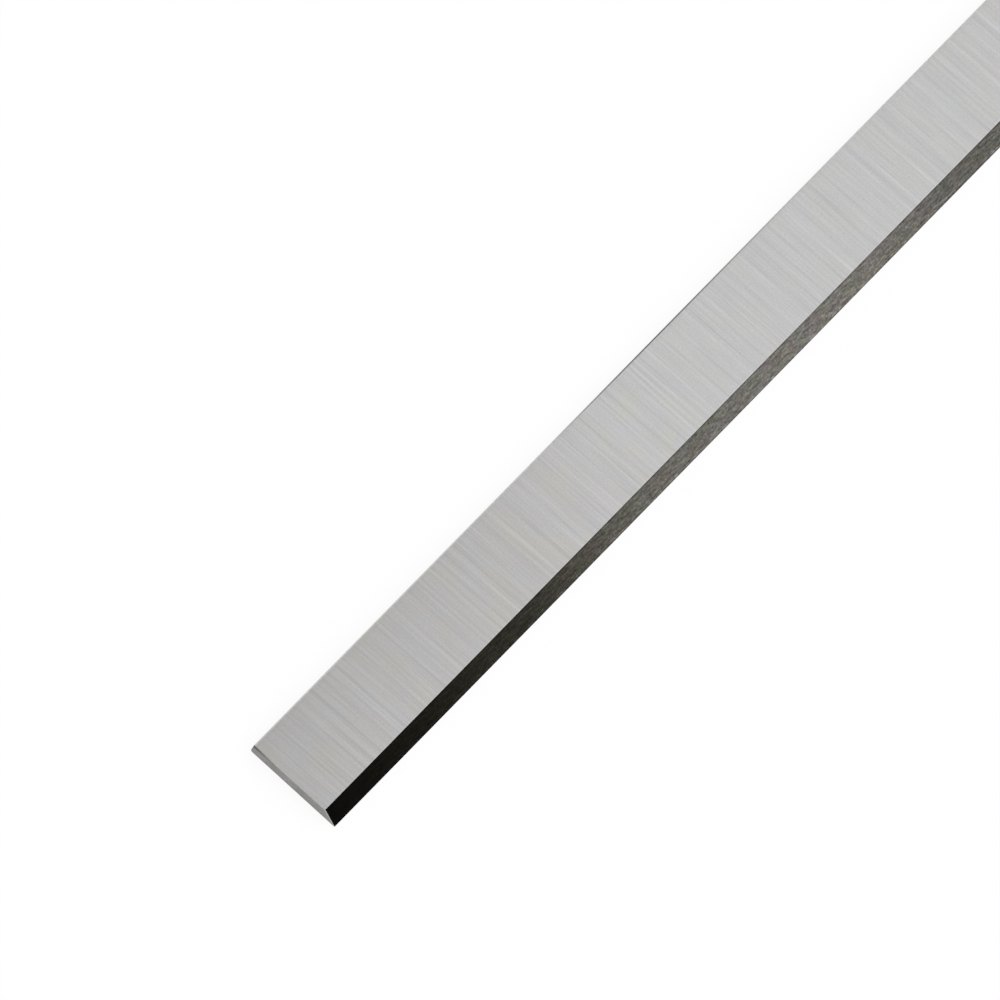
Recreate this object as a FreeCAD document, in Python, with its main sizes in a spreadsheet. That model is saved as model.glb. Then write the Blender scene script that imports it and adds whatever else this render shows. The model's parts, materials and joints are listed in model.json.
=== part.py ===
# Planer knife: a straight bar of tool steel with one bevel ground along its cutting edge.
#
# The knife lies on its back face. +X runs along it and +Z is up, with the origin at the middle
# of the back face. The cutting edge is on the -Y side and the heel on the +Y side. The back
# face has two shallow recesses beside the heel, one near each end, where the flanges of the
# cutter head's setting screws hold the knife. Sizes are in millimetres.

import FreeCAD, Part

import math
import os

import Sketcher

SIZES = {
    "knife_length": 317.5,
    "knife_width": 25.4,
    "knife_thickness": 3.175,
    "bevel_degrees": 39.0,
    "heel_break": 0.35,
    "end_break": 0.15,
    "recess_length": 16.0,
    "recess_width": 4.4,
    "recess_depth": 1.6,
    "recess_corner_radius": 0.6,
    "recess_to_heel": 2.0,
    "recess_to_end": 24.0,
}

NODE = "planer_knife"
CLOSE = 1e-6
ORIGIN_POINT = (-1, 1)
START = 1
END = 2
RIGHT_ANGLE = math.pi / 2
UP = FreeCAD.Vector(0, 0, 1)


# The sheet of sizes


def size_sheet(doc):
    sheet = doc.addObject("Spreadsheet::Sheet", "sizes")
    for row, (alias, value) in enumerate(SIZES.items(), start=1):
        sheet.set(f"A{row}", alias)
        sheet.set(f"B{row}", str(value))
        sheet.setAlias(f"B{row}", alias)
    doc.recompute()
    return sheet


# Sketch helpers


def origin_plane(body, role):
    return next(item for item in body.Origin.OriginFeatures if item.Role == role)


def new_sketch(body, name, plane):
    sketch = body.newObject("Sketcher::SketchObject", name)
    sketch.AttachmentSupport = [(origin_plane(body, plane), "")]
    sketch.MapMode = "FlatFace"
    return sketch


def at(across, up):
    return FreeCAD.Vector(across, up, 0)


def join(sketch, kind, pieces):
    """Ties the end of each piece to the start of the next, all the way round."""
    for piece, following in zip(pieces, pieces[1:] + pieces[:1]):
        sketch.addConstraint(Sketcher.Constraint(kind, piece, END, following, START))


def bind(sketch, name, expression, *constraint):
    """Adds a dimension and ties it to the sheet."""
    index = sketch.addConstraint(Sketcher.Constraint(*constraint))
    sketch.renameConstraint(index, name)
    sketch.setExpression(f"Constraints.{name}", expression)


# The bar with its bevel


def section_sketch(body, sheet):
    """The cross-section: back face, heel, front face and bevel, in that order."""
    sketch = new_sketch(body, "section", "YZ_Plane")
    edge = -sheet.knife_width / 2
    heel_side = sheet.knife_width / 2
    top = sheet.knife_thickness
    shoulder = edge + top
    corners = [at(edge, 0), at(heel_side, 0), at(heel_side, top), at(shoulder, top)]
    sides = zip(corners, corners[1:] + corners[:1])
    lines = [sketch.addGeometry(Part.LineSegment(a, b), False) for a, b in sides]
    join(sketch, "Coincident", lines)
    back, heel, front, bevel = lines
    sketch.addConstraint(Sketcher.Constraint("Horizontal", back))
    sketch.addConstraint(Sketcher.Constraint("Vertical", heel))
    sketch.addConstraint(Sketcher.Constraint("Horizontal", front))
    sketch.addConstraint(Sketcher.Constraint("Symmetric", back, START, back, END, *ORIGIN_POINT))
    bevel_run = "sizes.knife_thickness / tan(sizes.bevel_degrees * 1 deg)"
    bind(sketch, "width", "sizes.knife_width", "DistanceX", back, START, back, END, 2 * heel_side)
    bind(sketch, "thickness", "sizes.knife_thickness", "DistanceY", heel, START, heel, END, top)
    bind(sketch, "bevel_run", bevel_run, "DistanceX", bevel, END, bevel, START, top)
    return sketch


def bar(body, sheet):
    pad = body.newObject("PartDesign::Pad", "bar")
    pad.Profile = section_sketch(body, sheet)
    pad.SideType = "Symmetric"
    pad.setExpression("Length", "sizes.knife_length")
    body.Document.recompute()
    return pad


# Broken edges


def same(a, b):
    return abs(a - b) < CLOSE


def edges_where(feature, wanted):
    """Names of the feature's edges whose two end points pass the test."""
    names = []
    for number, edge in enumerate(feature.Shape.Edges, start=1):
        ends = [vertex.Point for vertex in edge.Vertexes]
        if wanted(*ends):
            names.append(f"Edge{number}")
    return names


def chamfer(body, name, feature, edges):
    """Breaks the named edges by the size of the same name in the sheet."""
    broken = body.newObject("PartDesign::Chamfer", name)
    broken.Base = (feature, edges)
    broken.setExpression("Size", f"sizes.{name}")
    body.Document.recompute()
    return broken


def break_heel(body, feature, sheet):
    """The heel's two long edges, front and back."""
    heel_side = sheet.knife_width / 2

    def runs_along_heel(a, b):
        return same(a.y, heel_side) and same(b.y, heel_side) and not same(a.x, b.x)

    return chamfer(body, "heel_break", feature, edges_where(feature, runs_along_heel))


def break_ends(body, feature, sheet):
    """All the edges round the two sawn ends."""
    end = sheet.knife_length / 2

    def lies_in_an_end(a, b):
        return same(a.x, b.x) and same(abs(a.x), end)

    return chamfer(body, "end_break", feature, edges_where(feature, lies_in_an_end))


# The recesses in the back


def rounded_rectangle(sketch, low, high, radius):
    """Four sides and the four corner arcs between them, counter-clockwise from the lower side."""
    inner_low = low + at(radius, radius)
    inner_high = high - at(radius, radius)
    outline = (
        (at(inner_low.x, low.y), at(inner_high.x, low.y)),
        (at(high.x, inner_low.y), at(high.x, inner_high.y)),
        (at(inner_high.x, high.y), at(inner_low.x, high.y)),
        (at(low.x, inner_high.y), at(low.x, inner_low.y)),
    )
    centres = (at(inner_high.x, inner_low.y), inner_high, at(inner_low.x, inner_high.y), inner_low)
    sides = []
    arcs = []
    for turn, ((begin, finish), centre) in enumerate(zip(outline, centres), start=-1):
        sides.append(sketch.addGeometry(Part.LineSegment(begin, finish), False))
        circle = Part.Circle(centre, UP, radius)
        angle = turn * RIGHT_ANGLE
        arcs.append(sketch.addGeometry(Part.ArcOfCircle(circle, angle, angle + RIGHT_ANGLE), False))
    join(sketch, "Tangent", [piece for pair in zip(sides, arcs) for piece in pair])
    for level, upright in zip(sides[0::2], sides[1::2]):
        sketch.addConstraint(Sketcher.Constraint("Horizontal", level))
        sketch.addConstraint(Sketcher.Constraint("Vertical", upright))
    for arc in arcs[1:]:
        sketch.addConstraint(Sketcher.Constraint("Equal", arcs[0], arc))
    return sides, arcs


def recess_sketch(body, sheet):
    """The recess near the +X end, seen from above through the knife."""
    sketch = new_sketch(body, "recess_outline", "XY_Plane")
    far_end = sheet.knife_length / 2 - sheet.recess_to_end
    heel_side = sheet.knife_width / 2 - sheet.recess_to_heel
    high = at(far_end, heel_side)
    low = high - at(sheet.recess_length, sheet.recess_width)
    radius = sheet.recess_corner_radius
    sides, arcs = rounded_rectangle(sketch, low, high, radius)
    lower, right, upper, left = sides
    to_end = "sizes.knife_length / 2 - sizes.recess_to_end"
    to_heel = "sizes.knife_width / 2 - sizes.recess_to_heel"
    bind(sketch, "far_end", to_end, "DistanceX", *ORIGIN_POINT, right, START, far_end)
    bind(sketch, "heel_side", to_heel, "DistanceY", *ORIGIN_POINT, upper, START, heel_side)
    bind(sketch, "length", "sizes.recess_length", "DistanceX", left, START, right, START, high.x - low.x)
    bind(sketch, "width", "sizes.recess_width", "DistanceY", lower, START, upper, START, high.y - low.y)
    bind(sketch, "corner_radius", "sizes.recess_corner_radius", "Radius", arcs[0], radius)
    return sketch


def recess(body, sheet):
    pocket = body.newObject("PartDesign::Pocket", "recess")
    pocket.Profile = recess_sketch(body, sheet)
    pocket.Reversed = True
    pocket.setExpression("Length", "sizes.recess_depth")
    body.Document.recompute()
    return pocket


def mirrored_recess(body, pocket):
    """The same recess at the other end."""
    mirrored = body.newObject("PartDesign::Mirrored", "recess_at_other_end")
    mirrored.Originals = [pocket]
    mirrored.MirrorPlane = (origin_plane(body, "YZ_Plane"), [""])
    body.Tip = mirrored
    body.Document.recompute()
    return mirrored


# The knife


def planer_knife(doc, sheet):
    body = doc.addObject("PartDesign::Body", NODE)
    body.Label = NODE
    blank = bar(body, sheet)
    heel_broken = break_heel(body, blank, sheet)
    finished_bar = break_ends(body, heel_broken, sheet)
    pocket = recess(body, sheet)
    mirrored = mirrored_recess(body, pocket)
    check_cut(finished_bar, pocket)
    check_cut(pocket, mirrored)
    return body


# Checks and files


def check_cut(before, after):
    """A recess that points away from the steel would cut nothing and show no error."""
    if not after.Shape.Volume < before.Shape.Volume - CLOSE:
        raise RuntimeError(f"{after.Name} cut nothing")


def check(doc, body):
    for item in doc.Objects:
        if {"Invalid", "Error"} & set(item.State):
            raise RuntimeError(f"{item.Name} failed: {item.State}")
    shape = body.Shape
    if shape.isNull() or not shape.isValid():
        raise RuntimeError(f"{body.Name} has no valid shape")
    if len(shape.Solids) != 1:
        raise RuntimeError(f"{body.Name} is not one solid")


def main():
    doc = FreeCAD.newDocument("planer_knife_model")
    sheet = size_sheet(doc)
    body = planer_knife(doc, sheet)
    doc.recompute()
    check(doc, body)
    os.makedirs("parts", exist_ok=True)
    body.Shape.exportStep(f"parts/{body.Label}.step")
    box = body.Shape.BoundBox
    print(f"{body.Label}: {box.XLength:.3f} x {box.YLength:.3f} x {box.ZLength:.3f} mm, "
          f"{body.Shape.Volume:.1f} cubic mm, {len(body.Shape.Faces)} faces")


main()
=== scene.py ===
# Planer knife, dressed: cross-ground steel with a dark bevel, lying on a pale floor in soft light.
# Lengths are in metres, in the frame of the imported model: +X along the knife, cutting edge at -Y.

import json
import math

import bmesh
import bpy
from mathutils import Matrix, Vector

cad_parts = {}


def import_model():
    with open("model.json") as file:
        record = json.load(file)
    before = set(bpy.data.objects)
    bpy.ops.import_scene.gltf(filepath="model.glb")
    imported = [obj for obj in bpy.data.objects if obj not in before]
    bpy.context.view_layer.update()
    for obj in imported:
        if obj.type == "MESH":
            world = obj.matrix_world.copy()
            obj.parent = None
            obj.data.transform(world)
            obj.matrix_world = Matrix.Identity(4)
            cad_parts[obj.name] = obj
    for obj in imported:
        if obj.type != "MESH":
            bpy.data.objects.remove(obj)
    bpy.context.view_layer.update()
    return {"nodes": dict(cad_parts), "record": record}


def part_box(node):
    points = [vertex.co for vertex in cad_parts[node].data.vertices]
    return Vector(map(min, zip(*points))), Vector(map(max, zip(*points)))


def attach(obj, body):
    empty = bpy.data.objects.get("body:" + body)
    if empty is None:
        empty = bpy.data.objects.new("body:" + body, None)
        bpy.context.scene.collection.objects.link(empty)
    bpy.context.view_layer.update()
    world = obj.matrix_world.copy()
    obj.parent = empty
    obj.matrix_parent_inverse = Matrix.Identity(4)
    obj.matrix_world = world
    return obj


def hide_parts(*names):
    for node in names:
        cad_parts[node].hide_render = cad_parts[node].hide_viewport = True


MM = 0.001
NODE = "planer_knife"

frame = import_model()

# The knife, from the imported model, with two sizes that the model doesn't name
KNIFE_LOW, KNIFE_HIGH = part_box(NODE)
BEVEL_ANGLE = math.radians(39.0)
RECESS_DEPTH = 1.6 * MM
END_X = KNIFE_HIGH.x
HEEL_Y = KNIFE_HIGH.y
EDGE_Y = KNIFE_LOW.y
FRONT_Z = KNIFE_HIGH.z
SHOULDER_Y = EDGE_Y + FRONT_Z / math.tan(BEVEL_ANGLE)
BEVEL_WIDTH = FRONT_Z / math.sin(BEVEL_ANGLE)
MOUNT_PLACES = {mount["name"]: mount["pos_m"] for mount in frame["record"]["mounts"]}
RECESS_X = MOUNT_PLACES["recess_plus_x"][0]

# How the knife's mesh is cleaned and its corners are softened
WELD = 0.0005 * MM
SAME_PLANE = math.radians(0.5)
SHARP = math.radians(25.0)
EDGE_ROUNDING = 0.03 * MM
CUTTING_EDGE_ZONE = 0.5 * MM

# How its faces are told apart: how squarely they look along an axis, and how close they are to the box
SQUARE = 0.999
TURN_SLACK = 0.01
ON_BOX = 0.01 * MM
INSIDE_BOX = 1 * MM

# Linear greys, each after its place in millimetres along the knife. The front's dimming towards -X is
# painted shade, and the bevel's near-black -X end is painted dark reflection.
FRONT_TONES_AND_SHADE = ((-158, 0.434), (-139, 0.461), (-79, 0.483), (-35, 0.534), (158, 0.537))
BACK_TONES = ((-158, 0.485), (158, 0.49))
HEEL_TONES = ((-158, 0.39), (158, 0.43))
BEVEL_TONES_AND_REFLECTION = (
    (-158, 0.0015),
    (-109, 0.0185),
    (-79, 0.05),
    (-49, 0.135),
    (-19, 0.172),
    (35, 0.183),
    (70, 0.128),
    (158, 0.128),
)
END_TONE = 0.285

# The broken edges are bright, and a painted dark reflection dims them over a stretch whose darkest place is
# DARKEST_X
CHAMFER_TONE = 0.56
CHAMFER_DARK_REFLECTION_TONE = 0.15
DIM_FROM_X = -64 * MM
DARKEST_X = -17 * MM
DIM_TO_X = 52 * MM

# The painted shade on the ends begins this far from the heel and would be whole a little beyond it
CORNER_SHADE_REACH = 8 * MM
CORNER_SHADE_BEYOND = 1 * MM
CORNER_SHADE_STRENGTH = 0.75

# Slant of the front's grinding lines, as a slope, and of the bevel's flecks
FRONT_LEAN = 0.0237
FLECK_LEAN = math.radians(-3.5)

# Heights of the finishes' relief
FACE_RELIEF = 0.0025 * MM
CHAMFER_RELIEF = 0.004 * MM
END_RELIEF = 0.006 * MM
BEVEL_RELIEF = 0.008 * MM
SCALE_RELIEF = 0.04 * MM

# The floor lies just under the knife. Where it is seen, it is this share plain white.
FLOOR_HALF = 3.0
FLOOR_LEVEL = -0.02 * MM
FLOOR_GREY = 0.98
FLOOR_GLOW = 0.85

# Light: the sky's strength as a light, and each softbox's place, side and watts
WHITE = (1, 1, 1, 1)
SKY_STRENGTH = 0.95
SOFTBOXES = {
    "key_softbox": (Vector((-1.6, 1.6, 2.2)), 2.4, 9.0),
    "fill_softbox": (Vector((2.0, -1.6, 1.8)), 2.0, 3.2),
}

# The camera: far away behind a very long lens, because the photograph shows hardly any perspective
LENS = 1500.0
CAMERA_TILT = math.radians(27.426)
CAMERA_TURN = math.radians(9.471)
CAMERA_ROLL = math.radians(-47.748)
CAMERA_DISTANCE = 9.3248
CAMERA_AIM = Vector((-0.07024, 0.01212, 0))
CLIP_START = 1.0
CLIP_END = 100.0


# Building node trees


class Graph:
    """A node tree, with short calls for adding to it."""

    def __init__(self, tree):
        self.tree = tree

    def node(self, kind, *inputs, **settings):
        """A new node. Its first inputs get the values or sockets given."""
        node = self.tree.nodes.new(kind)
        for name, value in settings.items():
            setattr(node, name, value)
        for socket, value in zip(node.inputs, inputs):
            self.feed(socket, value)
        return node

    def feed(self, socket, value):
        if isinstance(value, bpy.types.NodeSocket):
            self.tree.links.new(value, socket)
        else:
            socket.default_value = value

    def feed_named(self, node, **inputs):
        """Feeds inputs by their names, with underscores for spaces."""
        for name, value in inputs.items():
            self.feed(node.inputs[name.replace("_", " ")], value)

    def calculate(self, operation, a, b):
        return self.node("ShaderNodeMath", a, b, operation=operation).outputs[0]

    def background_rays(self):
        """1 for rays that show a background: from the camera, off metal or through glass."""
        path = self.node("ShaderNodeLightPath")
        seen = path.outputs["Is Camera Ray"]
        for name in ("Is Glossy Ray", "Is Transmission Ray"):
            seen = self.calculate("MAXIMUM", seen, path.outputs[name])
        return seen


class Steel(Graph):
    """A steel finish: a material that changes with the place on the knife."""

    def __init__(self, name):
        self.material = bpy.data.materials.new(name)
        self.material.use_nodes = True
        super().__init__(self.material.node_tree)
        self.shader = next(node for node in self.tree.nodes if node.type == "BSDF_PRINCIPLED")
        place = self.node("ShaderNodeTexCoord").outputs["Object"]
        self.x, self.y, self.z = self.node("ShaderNodeSeparateXYZ", place).outputs

    def from_middle(self):
        """The distance along the knife from its middle, towards either end."""
        return self.calculate("ABSOLUTE", self.x, 0.0)

    def times(self, *factors):
        product = factors[0]
        for factor in factors[1:]:
            product = self.calculate("MULTIPLY", product, factor)
        return product

    def plus(self, *terms):
        total = terms[0]
        for term in terms[1:]:
            total = self.calculate("ADD", total, term)
        return total

    def span(self, value, begin, end, low=0.0, high=1.0):
        """Goes smoothly from low to high as the value goes from begin to end, and holds beyond."""
        limits = (begin, end, low, high)
        node = self.node("ShaderNodeMapRange", value, *limits, interpolation_type="SMOOTHSTEP")
        return node.outputs["Result"]

    def noise(self, along, across, seed, grain, detail=2.0, roughness=0.5):
        """A noise from 0 to 1 whose grain is (length, width), each in metres."""
        scaled = (self.times(along, 1 / grain[0]), self.times(across, 1 / grain[1]), seed)
        vector = self.node("ShaderNodeCombineXYZ", *scaled).outputs[0]
        node = self.node("ShaderNodeTexNoise")
        self.feed_named(node, Vector=vector, Scale=1.0, Detail=detail, Roughness=roughness)
        return node.outputs["Fac"]

    def swing(self, noise, amount):
        """A factor that swings round 1, by the amount at the noise's very ends."""
        return self.plus(self.times(noise, 2 * amount), 1 - amount)

    def tone(self, stops):
        """A linear grey that follows the stops, (millimetres, grey), along the knife."""
        first, last = stops[0][0], stops[-1][0]
        share = self.node("ShaderNodeMapRange", self.x, first * MM, last * MM).outputs["Result"]
        node = self.node("ShaderNodeValToRGB", share)
        ramp = node.color_ramp
        ramp.interpolation = "CARDINAL"
        while len(ramp.elements) < len(stops):
            ramp.elements.new(0.5)
        for element, (millimetres, grey) in zip(ramp.elements, stops):
            element.position = (millimetres - first) / (last - first)
            element.color = (grey, grey, grey, 1)
        return node.outputs["Color"]

    def mix(self, factor, a, b, blend_type="MIX"):
        """Mixes two colours, each a socket or three numbers."""
        node = self.node("ShaderNodeMix", factor, data_type="RGBA", blend_type=blend_type)
        for name, colour in (("A_Color", a), ("B_Color", b)):
            socket = next(socket for socket in node.inputs if socket.identifier == name)
            self.feed(socket, (*colour, 1) if isinstance(colour, tuple) else colour)
        return next(socket for socket in node.outputs if socket.identifier == "Result_Color")

    def blend(self, *colours):
        """Multiplies colours, each a socket or three numbers."""
        product = colours[0]
        for colour in colours[1:]:
            product = self.mix(1.0, product, colour, "MULTIPLY")
        return product

    def finish(self, tint, brightness, roughness, height, relief):
        """Steel of that colour, with the height, from 0 to 1, as relief in metres."""
        shade = self.node("ShaderNodeCombineColor", brightness, brightness, brightness).outputs[0]
        bump = self.node("ShaderNodeBump")
        self.feed_named(bump, Height=height, Strength=1.0, Distance=relief)
        self.feed_named(
            self.shader,
            Base_Color=self.blend(tint, shade),
            Metallic=1.0,
            Roughness=roughness,
            Normal=bump.outputs[0],
        )
        return self.material


# Finishes. Tints are shares of red, green and blue. Noises take a seed and a grain.


def cross_grinding(steel, lean, seed, strength):
    """Grinding lines across a face, leaning along the knife by the given slope.

    Returns the brightness factor and the height of the relief."""
    along = steel.y
    across = steel.plus(steel.x, steel.times(steel.y, lean))
    bands = steel.noise(along, across, seed, (300 * MM, 7 * MM))
    lines = steel.noise(along, across, seed + 11, (500 * MM, 1.5 * MM), detail=3.0, roughness=0.8)
    fading = steel.noise(along, across, seed + 17, (18 * MM, 2.5 * MM), detail=1.0)
    dashes = steel.noise(along, across, seed + 23, (11 * MM, 0.6 * MM), detail=1.0)
    hairs = steel.noise(along, across, seed + 31, (40 * MM, 0.16 * MM), detail=1.0)
    specks = steel.noise(along, across, seed + 37, (0.55 * MM, 0.3 * MM), detail=1.0)
    depth = steel.span(fading, 0.3, 0.7, 0.5, 1.45)
    factor = steel.times(
        steel.swing(bands, 0.2 * strength),
        steel.plus(steel.times(steel.plus(lines, -0.5), depth, 2 * strength), 1.0),
        steel.swing(dashes, 0.3 * strength),
        steel.swing(hairs, 0.35 * strength),
        steel.swing(specks, 0.5 * strength),
    )
    height = steel.plus(steel.times(lines, 0.6), steel.times(dashes, 0.2), steel.times(hairs, 0.2))
    return factor, height


def front_tint(steel):
    """Warmer near the -X end, and blotched yellowish, bluish and pinkish, less so towards +X."""
    hues = steel.noise(steel.y, steel.x, 61.0, (9 * MM, 9 * MM))
    pinks = steel.noise(steel.y, steel.x, 67.0, (8 * MM, 7 * MM))
    rosy, cool = (1.0, 0.988, 0.986), (0.998, 1.0, 1.008)
    yellowish, bluish, pinkish = (1.004, 1.0, 0.955), (0.998, 1.0, 1.012), (1.0, 0.986, 0.985)
    warmth = steel.mix(steel.span(steel.x, -90 * MM, -20 * MM), rosy, cool)
    least = steel.span(steel.x, -50 * MM, 20 * MM, 0.0, 0.25)
    most = steel.span(steel.x, -50 * MM, 20 * MM, 1.0, 0.75)
    cast = steel.mix(steel.span(hues, 0.38, 0.62, least, most), yellowish, bluish)
    cast = steel.mix(steel.span(pinks, 0.42, 0.62), cast, pinkish)
    return steel.blend(warmth, cast)


def front_ground():
    """The front face: pale, lined across with a slight lean, with painted shade that dims the -X end and
    the heel side, and a painted highlight along the shoulder.
    """
    steel = Steel("front_ground")
    factor, height = cross_grinding(steel, FRONT_LEAN, 3.0, 0.26)
    side = steel.times(steel.y, -1 / HEEL_Y)
    # Painted shade across the front: darker towards the heel side, most so at the -X end.
    slope = steel.span(steel.x, -158 * MM, -20 * MM, 0.075, 0.015)
    painted_cross_shade = steel.plus(steel.times(side, slope), 1.0)
    # Painted highlight: a thin brighter line along the bevel's shoulder.
    painted_shoulder_highlight = steel.span(steel.y, SHOULDER_Y + 0.45 * MM, SHOULDER_Y + 0.15 * MM, 1.0, 1.035)
    hatches = steel.noise(steel.y, steel.x, 51.0, (1.6 * MM, 0.3 * MM))
    near_heel = steel.span(steel.y, HEEL_Y - 1.5 * MM, HEEL_Y - 0.5 * MM)
    hatching = steel.plus(steel.times(near_heel, steel.plus(hatches, -0.6), 0.22), 1.0)
    # The front's tones dim towards -X as painted shade.
    brightness = steel.times(steel.tone(FRONT_TONES_AND_SHADE), factor, painted_cross_shade, painted_shoulder_highlight, hatching)
    roughness = steel.plus(steel.times(height, 0.16), 0.26)
    return steel.finish(front_tint(steel), brightness, roughness, height, FACE_RELIEF)


def back_ground():
    """The back face: faintly greenish, with quieter lines straight across."""
    steel = Steel("back_ground")
    factor, height = cross_grinding(steel, 0.0, 71.0, 0.2)
    hues = steel.noise(steel.y, steel.x, 81.0, (24 * MM, 12 * MM))
    yellowish, greenish = (0.995, 1.0, 0.95), (0.99, 1.0, 0.975)
    tint = steel.mix(steel.span(hues, 0.38, 0.62), yellowish, greenish)
    brightness = steel.times(steel.tone(BACK_TONES), factor)
    roughness = steel.plus(steel.times(height, 0.16), 0.28)
    return steel.finish(tint, brightness, roughness, height, FACE_RELIEF)


def bevel_tint(steel, along, across):
    """Brown near the -X end and warm grey beyond, with patches of other hues."""
    hues = steel.noise(along, across, 149.0, (4.5 * MM, 4 * MM), detail=1.0)
    reds = steel.noise(along, across, 151.0, (6 * MM, 3 * MM), detail=0.0)
    blues = steel.noise(along, across, 157.0, (4 * MM, 3.5 * MM), detail=1.0)
    brown, warm_grey = (1.0, 0.915, 0.62), (1.0, 0.96, 0.875)
    greenish, pinkish, reddish = (0.966, 1.0, 0.96), (1.0, 0.963, 0.967), (1.0, 0.91, 0.94)
    yellowish, bluish = (1.0, 1.0, 0.96), (1.0, 1.0, 1.035)
    warmth = steel.mix(steel.span(steel.x, -150 * MM, -20 * MM), brown, warm_grey)
    cast = steel.mix(steel.span(hues, 0.4, 0.62), greenish, pinkish)
    cast = steel.mix(steel.span(reds, 0.64, 0.78), cast, reddish)
    coolness = steel.mix(steel.span(blues, 0.38, 0.62), yellowish, bluish)
    return steel.blend(warmth, steel.blend(cast, coolness))


def bevel_ground():
    """The bevel: much darker than the faces and near black at the -X end as painted dark reflection, with
    flecks of three lengths almost in line with the knife and painted glints by the cutting edge.
    """
    steel = Steel("bevel_ground")
    down = steel.times(steel.plus(steel.y, -SHOULDER_Y), -1 / math.cos(BEVEL_ANGLE))
    cosine, sine = math.cos(FLECK_LEAN), math.sin(FLECK_LEAN)
    along = steel.plus(steel.times(steel.x, cosine), steel.times(down, -sine))
    across = steel.plus(steel.times(steel.x, sine), steel.times(down, cosine))
    strokes = steel.noise(along, across, 101.0, (3.8 * MM, 0.65 * MM), detail=0.0)
    grains = steel.noise(along, across, 113.0, (1.6 * MM, 0.6 * MM), detail=0.0)
    specks = steel.noise(along, across, 109.0, (0.6 * MM, 0.5 * MM), detail=0.0)
    clouds = steel.noise(along, across, 127.0, (5 * MM, 1.6 * MM))
    glints = steel.noise(steel.x, down, 139.0, (2.5 * MM, 0.4 * MM), detail=1.0)
    dim_shoulder = steel.span(down, 0.1 * MM, 0.5 * MM, 0.6, 1.0)
    dim_edge = steel.span(down, BEVEL_WIDTH - 0.35 * MM, BEVEL_WIDTH - 0.1 * MM, 1.0, 0.6)
    by_edge = steel.span(down, BEVEL_WIDTH - 1.3 * MM, BEVEL_WIDTH - 0.6 * MM)
    # Painted highlight: sparse glints in streaks by the cutting edge.
    painted_edge_glints = steel.plus(steel.times(by_edge, steel.span(glints, 0.54, 0.7), 0.9), 1.0)
    # The bevel's tones darken to near black at -X as painted dark reflection.
    brightness = steel.times(
        steel.tone(BEVEL_TONES_AND_REFLECTION),
        steel.swing(strokes, 0.42),
        steel.swing(grains, 0.42),
        steel.swing(specks, 0.5),
        steel.swing(clouds, 0.2),
        dim_shoulder,
        dim_edge,
        painted_edge_glints,
    )
    roughness = steel.plus(steel.times(strokes, 0.2), 0.32)
    height = steel.plus(steel.times(strokes, 0.6), steel.times(grains, 0.4))
    tint = bevel_tint(steel, along, across)
    return steel.finish(tint, brightness, roughness, height, BEVEL_RELIEF)


def end_sawn():
    """The two sawn ends: duller grey, faintly mottled, with painted shade in a dark line at the heel's
    upper corner.
    """
    steel = Steel("end_sawn")
    grains = steel.noise(steel.y, steel.z, 163.0, (0.7 * MM, 0.35 * MM))
    patches = steel.noise(steel.y, steel.z, 167.0, (4 * MM, 2 * MM))
    # Painted shade: a dark line along the end's top by the heel, where the end meets the front.
    by_heel = steel.span(steel.y, HEEL_Y - CORNER_SHADE_REACH, HEEL_Y + CORNER_SHADE_BEYOND)
    by_front = steel.span(steel.z, FRONT_Z - 1.0 * MM, FRONT_Z - 0.5 * MM)
    painted_corner_shade = steel.plus(steel.times(by_heel, by_front, -CORNER_SHADE_STRENGTH), 1.0)
    dim_foot = steel.span(steel.z, 0.1 * MM, 0.7 * MM, 0.88, 1.0)
    swings = (steel.swing(grains, 0.35), steel.swing(patches, 0.25))
    brightness = steel.times(*swings, painted_corner_shade, dim_foot, END_TONE)
    roughness = steel.plus(steel.times(grains, 0.15), 0.4)
    return steel.finish((1.0, 0.985, 0.975), brightness, roughness, grains, END_RELIEF)


def heel_ground():
    """The heel: ground lengthwise, with long fine lines."""
    steel = Steel("heel_ground")
    lines = steel.noise(steel.x, steel.z, 173.0, (60 * MM, 0.18 * MM))
    hairs = steel.noise(steel.x, steel.z, 179.0, (14 * MM, 0.07 * MM))
    brightness = steel.times(steel.tone(HEEL_TONES), steel.swing(lines, 0.2), steel.swing(hairs, 0.12))
    height = steel.plus(steel.times(lines, 0.6), steel.times(hairs, 0.4))
    roughness = steel.plus(steel.times(lines, 0.16), 0.28)
    return steel.finish((1.0, 0.995, 0.98), brightness, roughness, height, FACE_RELIEF)


def broken_edge():
    """The narrow chamfers: bright, but dark over a stretch of the heel as painted dark reflection, with
    painted shade at the ends by the heel.
    """
    steel = Steel("broken_edge")
    scuffs = steel.noise(steel.x, steel.y, 191.0, (0.9 * MM, 0.9 * MM))
    # Painted dark reflection dims the chamfers over a stretch along the knife, darkest at DARKEST_X.
    dimming = steel.span(steel.x, DIM_FROM_X, DARKEST_X, CHAMFER_TONE, CHAMFER_DARK_REFLECTION_TONE)
    brightening = steel.span(steel.x, DARKEST_X, DIM_TO_X, CHAMFER_DARK_REFLECTION_TONE, CHAMFER_TONE)
    tone = steel.calculate("MAXIMUM", dimming, brightening)
    # Painted shade on the chamfers at the ends, by the heel.
    at_end = steel.span(steel.from_middle(), END_X - 0.3 * MM, END_X - 0.2 * MM)
    by_heel = steel.span(steel.y, HEEL_Y - CORNER_SHADE_REACH, HEEL_Y + CORNER_SHADE_BEYOND, -0.25, -CORNER_SHADE_STRENGTH)
    painted_corner_shade = steel.plus(steel.times(at_end, by_heel), 1.0)
    brightness = steel.times(tone, steel.swing(scuffs, 0.3), painted_corner_shade)
    return steel.finish((1.0, 0.99, 0.98), brightness, 0.4, scuffs, CHAMFER_RELIEF)


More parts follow.
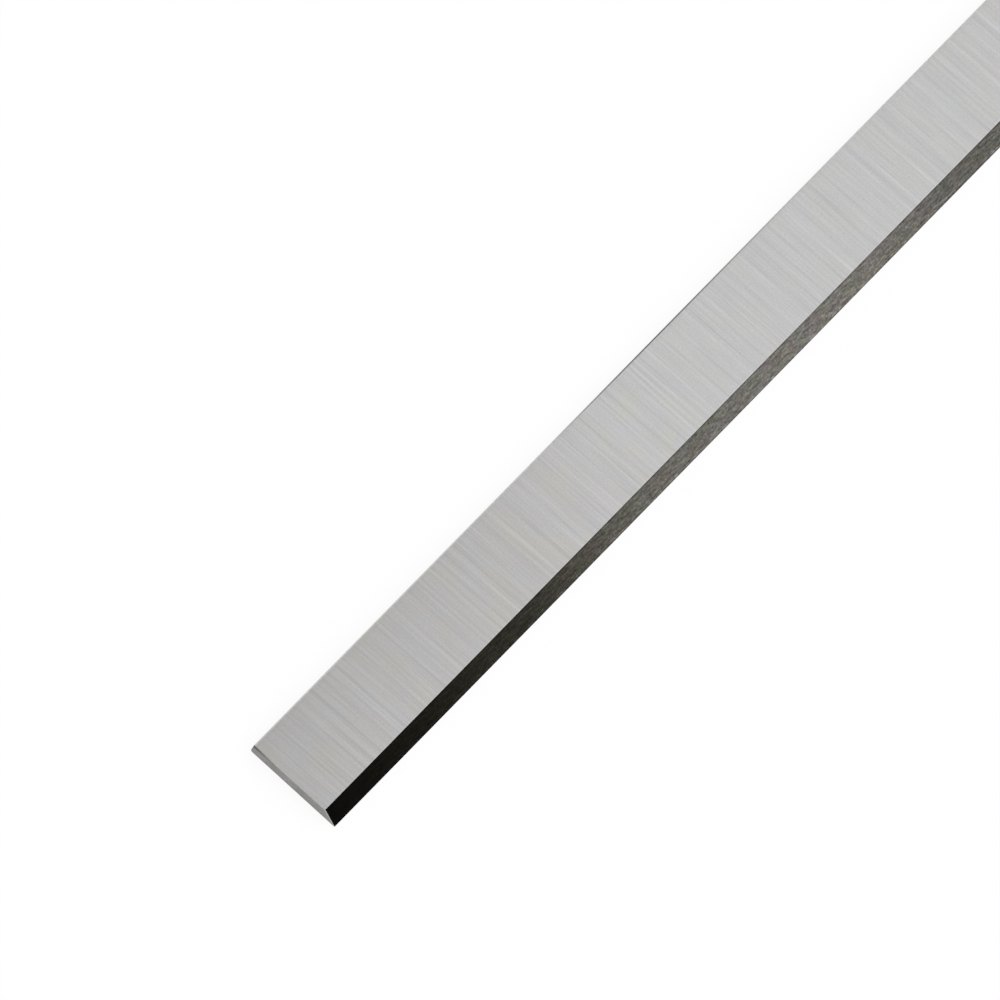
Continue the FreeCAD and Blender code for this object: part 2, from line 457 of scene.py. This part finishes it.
def recess_scale():
    """Inside the recesses: black scale, with dark grey grains on the floor's inner half."""
    steel = Steel("recess_scale")
    grains = steel.noise(steel.x, steel.y, 197.0, (0.8 * MM, 0.8 * MM), detail=3.0)
    patches = steel.noise(steel.x, steel.y, 199.0, (4 * MM, 4 * MM))
    ragged = steel.plus(steel.from_middle(), steel.times(patches, 6 * MM))
    inner_half = steel.span(ragged, RECESS_X + 5.25 * MM, RECESS_X - 5.75 * MM, 0.15, 1.0)
    on_floor = steel.span(steel.z, RECESS_DEPTH - 0.3 * MM, RECESS_DEPTH - 0.05 * MM)
    lighter_grains = steel.times(steel.span(grains, 0.35, 0.7, 0.006, 0.06), inner_half, on_floor)
    brightness = steel.plus(lighter_grains, 0.002)
    roughness = steel.plus(steel.times(grains, 0.2), 0.5)
    return steel.finish((0.97, 0.98, 1.0), brightness, roughness, grains, SCALE_RELIEF)


FINISHES = (front_ground, back_ground, bevel_ground, end_sawn, heel_ground, broken_edge, recess_scale)


# The knife


def finish_of(normal, centre):
    """The finish of a face of the knife, from the way it looks and where it is."""
    if abs(normal.x) > SQUARE and abs(centre.x) > END_X - ON_BOX:
        return end_sawn
    if normal.y > SQUARE and centre.y > HEEL_Y - ON_BOX:
        return heel_ground
    if normal.z > SQUARE:
        return front_ground
    if normal.z < -SQUARE and centre.z < ON_BOX:
        return back_ground
    slopes_as_bevel = math.isclose(normal.z, math.cos(BEVEL_ANGLE), abs_tol=TURN_SLACK)
    if slopes_as_bevel and normal.y < 0 and abs(normal.x) < TURN_SLACK:
        return bevel_ground
    inside = abs(centre.x) < END_X - INSIDE_BOX and centre.y < HEEL_Y - INSIDE_BOX
    return recess_scale if inside else broken_edge


def knife_piece(source):
    """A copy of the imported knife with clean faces, a finish on each and softened corners."""
    shape = bmesh.new()
    shape.from_mesh(source.data)
    bmesh.ops.remove_doubles(shape, verts=shape.verts, dist=WELD)
    bmesh.ops.dissolve_limit(shape, angle_limit=SAME_PLANE, verts=shape.verts, edges=shape.edges)
    weight = shape.edges.layers.float.new("bevel_weight_edge")
    for face in shape.faces:
        face.material_index = FINISHES.index(finish_of(face.normal, face.calc_center_median()))
        face.smooth = True
    for edge in shape.edges:
        edge.smooth = edge.calc_face_angle(0) < SHARP
        on_cutting_edge = all(vertex.co.y < EDGE_Y + CUTTING_EDGE_ZONE for vertex in edge.verts)
        if not edge.smooth and not on_cutting_edge:
            edge[weight] = 1
    mesh = bpy.data.meshes.new("ground_knife")
    shape.to_mesh(mesh)
    shape.free()
    for finish in FINISHES:
        mesh.materials.append(finish())
    piece = bpy.data.objects.new("ground_knife", mesh)
    bpy.context.scene.collection.objects.link(piece)
    rounding = piece.modifiers.new("softened_corners", "BEVEL")
    rounding.limit_method = "WEIGHT"
    rounding.width = EDGE_ROUNDING
    rounding.segments = 2
    return piece


# Floor, light and camera


def floor_material():
    """Matt and pale, and mostly plain white where it is seen, with a faint shadow of the knife."""
    material = bpy.data.materials.new("pale_floor")
    material.use_nodes = True
    material.node_tree.nodes.clear()
    graph = Graph(material.node_tree)
    matt = graph.node("ShaderNodeBsdfDiffuse", (FLOOR_GREY, FLOOR_GREY, FLOOR_GREY, 1)).outputs[0]
    glow = graph.node("ShaderNodeEmission", WHITE, 1.0).outputs[0]
    share = graph.calculate("MULTIPLY", graph.background_rays(), FLOOR_GLOW)
    mixed = graph.node("ShaderNodeMixShader", share, matt, glow).outputs[0]
    graph.node("ShaderNodeOutputMaterial", mixed)
    return material


def floor():
    half, level = FLOOR_HALF, FLOOR_LEVEL
    corners = [(-half, -half, level), (half, -half, level), (half, half, level), (-half, half, level)]
    mesh = bpy.data.meshes.new("floor")
    mesh.from_pydata(corners, [], [(0, 1, 2, 3)])
    mesh.materials.append(floor_material())
    plane = bpy.data.objects.new("floor", mesh)
    bpy.context.scene.collection.objects.link(plane)


def world():
    """White where it is seen, and a little dimmer as a light."""
    sky = bpy.data.worlds.new("studio")
    sky.use_nodes = True
    sky.node_tree.nodes.clear()
    graph = Graph(sky.node_tree)
    light = graph.node("ShaderNodeBackground", WHITE, SKY_STRENGTH).outputs[0]
    backdrop = graph.node("ShaderNodeBackground", WHITE, 1.0).outputs[0]
    mixed = graph.node("ShaderNodeMixShader", graph.background_rays(), light, backdrop).outputs[0]
    graph.node("ShaderNodeOutputWorld", mixed)
    bpy.context.scene.world = sky


def softbox(name, place, side, watts):
    """A square lamp that faces the middle of the knife."""
    light = bpy.data.lights.new(name, "AREA")
    light.size = side
    light.energy = watts
    lamp = bpy.data.objects.new(name, light)
    facing = (-place).to_track_quat("-Z", "Y").to_matrix().to_4x4()
    lamp.matrix_world = Matrix.Translation(place) @ facing
    bpy.context.scene.collection.objects.link(lamp)


def camera():
    """Tilted from straight above the knife, turned round it, and rolled in its own frame."""
    back = Vector((
        -math.sin(CAMERA_TILT) * math.cos(CAMERA_TURN),
        -math.sin(CAMERA_TILT) * math.sin(CAMERA_TURN),
        math.cos(CAMERA_TILT),
    ))
    across_knife = Vector((0, 1, 0))
    up = (across_knife - back * across_knife.dot(back)).normalized()
    right = up.cross(back)
    upright = Matrix((right, up, back)).transposed().to_4x4()
    data = bpy.data.cameras.new("camera")
    data.lens = LENS
    data.clip_start = CLIP_START
    data.clip_end = CLIP_END
    made = bpy.data.objects.new("camera", data)
    place = Matrix.Translation(CAMERA_AIM + back * CAMERA_DISTANCE)
    made.matrix_world = place @ upright @ Matrix.Rotation(CAMERA_ROLL, 4, "Z")
    bpy.context.scene.collection.objects.link(made)
    bpy.context.scene.camera = made


def clear_startup():
    for name in ("Cube", "Light", "Camera"):
        leftover = bpy.data.objects.get(name)
        if leftover:
            bpy.data.objects.remove(leftover)


clear_startup()
bpy.context.scene.view_settings.view_transform = "Standard"
camera()
world()
for name, (place, side, watts) in SOFTBOXES.items():
    softbox(name, place, side, watts)
floor()

knife = knife_piece(frame["nodes"][NODE])
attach(knife, "root")
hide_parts(NODE)
